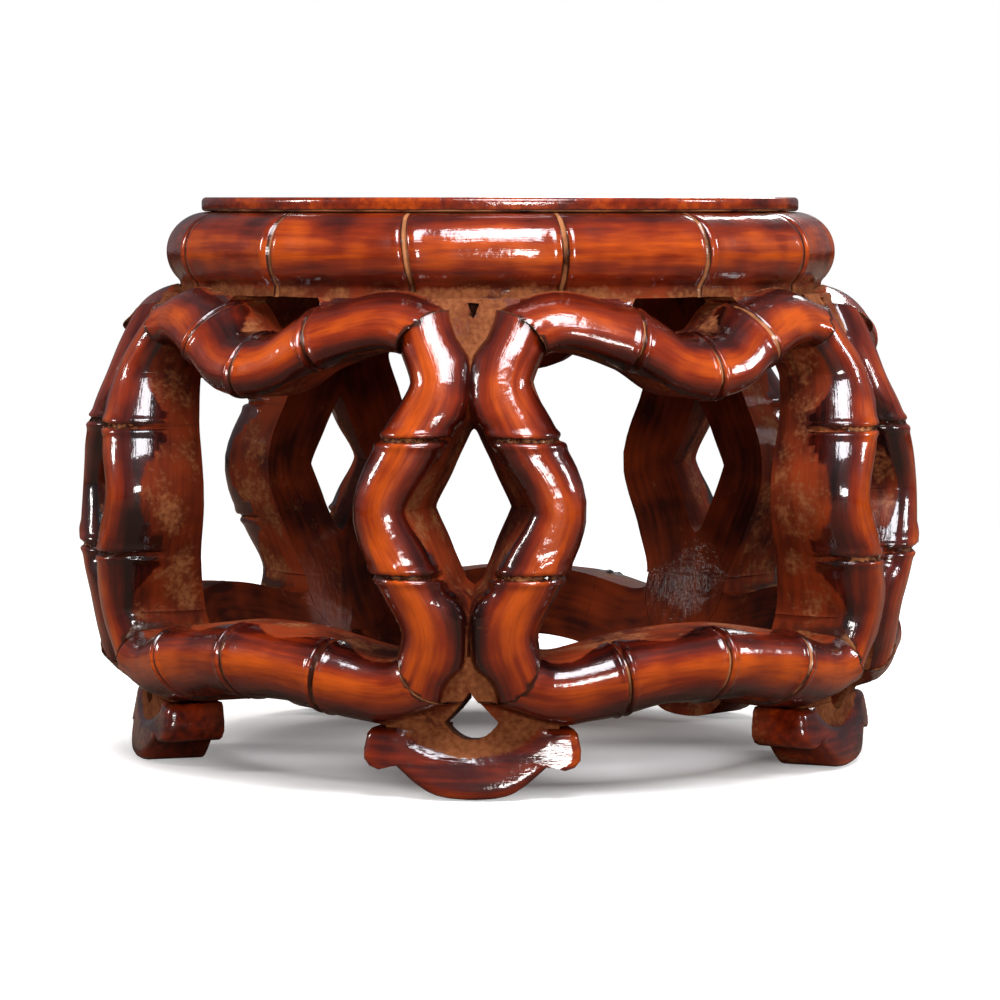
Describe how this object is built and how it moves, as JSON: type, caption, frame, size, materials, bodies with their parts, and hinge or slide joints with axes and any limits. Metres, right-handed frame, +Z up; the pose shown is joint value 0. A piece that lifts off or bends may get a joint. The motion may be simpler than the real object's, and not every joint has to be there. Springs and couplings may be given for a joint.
{
  "type": "bamboo display stand",
  "caption": "Round carved wooden display stand in the shape of bent bamboo, with a lipped top, a node-ringed rim, double-cane legs, wavy rails and cloud-shaped feet.",
  "frame": {"origin": "on the stand's axis at the level of the floor", "axes": "+Z up the stand's axis; the front leg, which the picture faces, is towards -Y; +X is the picture's right"},
  "size_m": [0.1262, 0.1249, 0.0835],
  "materials": {
    "frame_wood": "gloss",
    "top_wood": "gloss",
    "dowel_wood": "matte"
  },
  "bodies": {
    "root": {"top_board": "top_wood", "rim_ring": "frame_wood", "leg_1": "frame_wood", "top_rail_1": "frame_wood", "bottom_rail_1": "frame_wood", "foot_1": "frame_wood", "rim_dowel_1": "dowel_wood", "rail_dowel_1a": "dowel_wood", "foot_dowel_1a": "dowel_wood", "rail_dowel_1b": "dowel_wood", "foot_dowel_1b": "dowel_wood", "leg_2": "frame_wood", "top_rail_2": "frame_wood", "bottom_rail_2": "frame_wood", "foot_2": "frame_wood", "rim_dowel_2": "dowel_wood", "rail_dowel_2a": "dowel_wood", "foot_dowel_2a": "dowel_wood", "rail_dowel_2b": "dowel_wood", "foot_dowel_2b": "dowel_wood", "leg_3": "frame_wood", "top_rail_3": "frame_wood", "bottom_rail_3": "frame_wood", "foot_3": "frame_wood", "rim_dowel_3": "dowel_wood", "rail_dowel_3a": "dowel_wood", "foot_dowel_3a": "dowel_wood", "rail_dowel_3b": "dowel_wood", "foot_dowel_3b": "dowel_wood", "leg_4": "frame_wood", "top_rail_4": "frame_wood", "bottom_rail_4": "frame_wood", "foot_4": "frame_wood", "rim_dowel_4": "dowel_wood", "rail_dowel_4a": "dowel_wood", "foot_dowel_4a": "dowel_wood", "rail_dowel_4b": "dowel_wood", "foot_dowel_4b": "dowel_wood", "leg_5": "frame_wood", "top_rail_5": "frame_wood", "bottom_rail_5": "frame_wood", "foot_5": "frame_wood", "rim_dowel_5": "dowel_wood", "rail_dowel_5a": "dowel_wood", "foot_dowel_5a": "dowel_wood", "rail_dowel_5b": "dowel_wood", "foot_dowel_5b": "dowel_wood"}
  },
  "joints": []
}
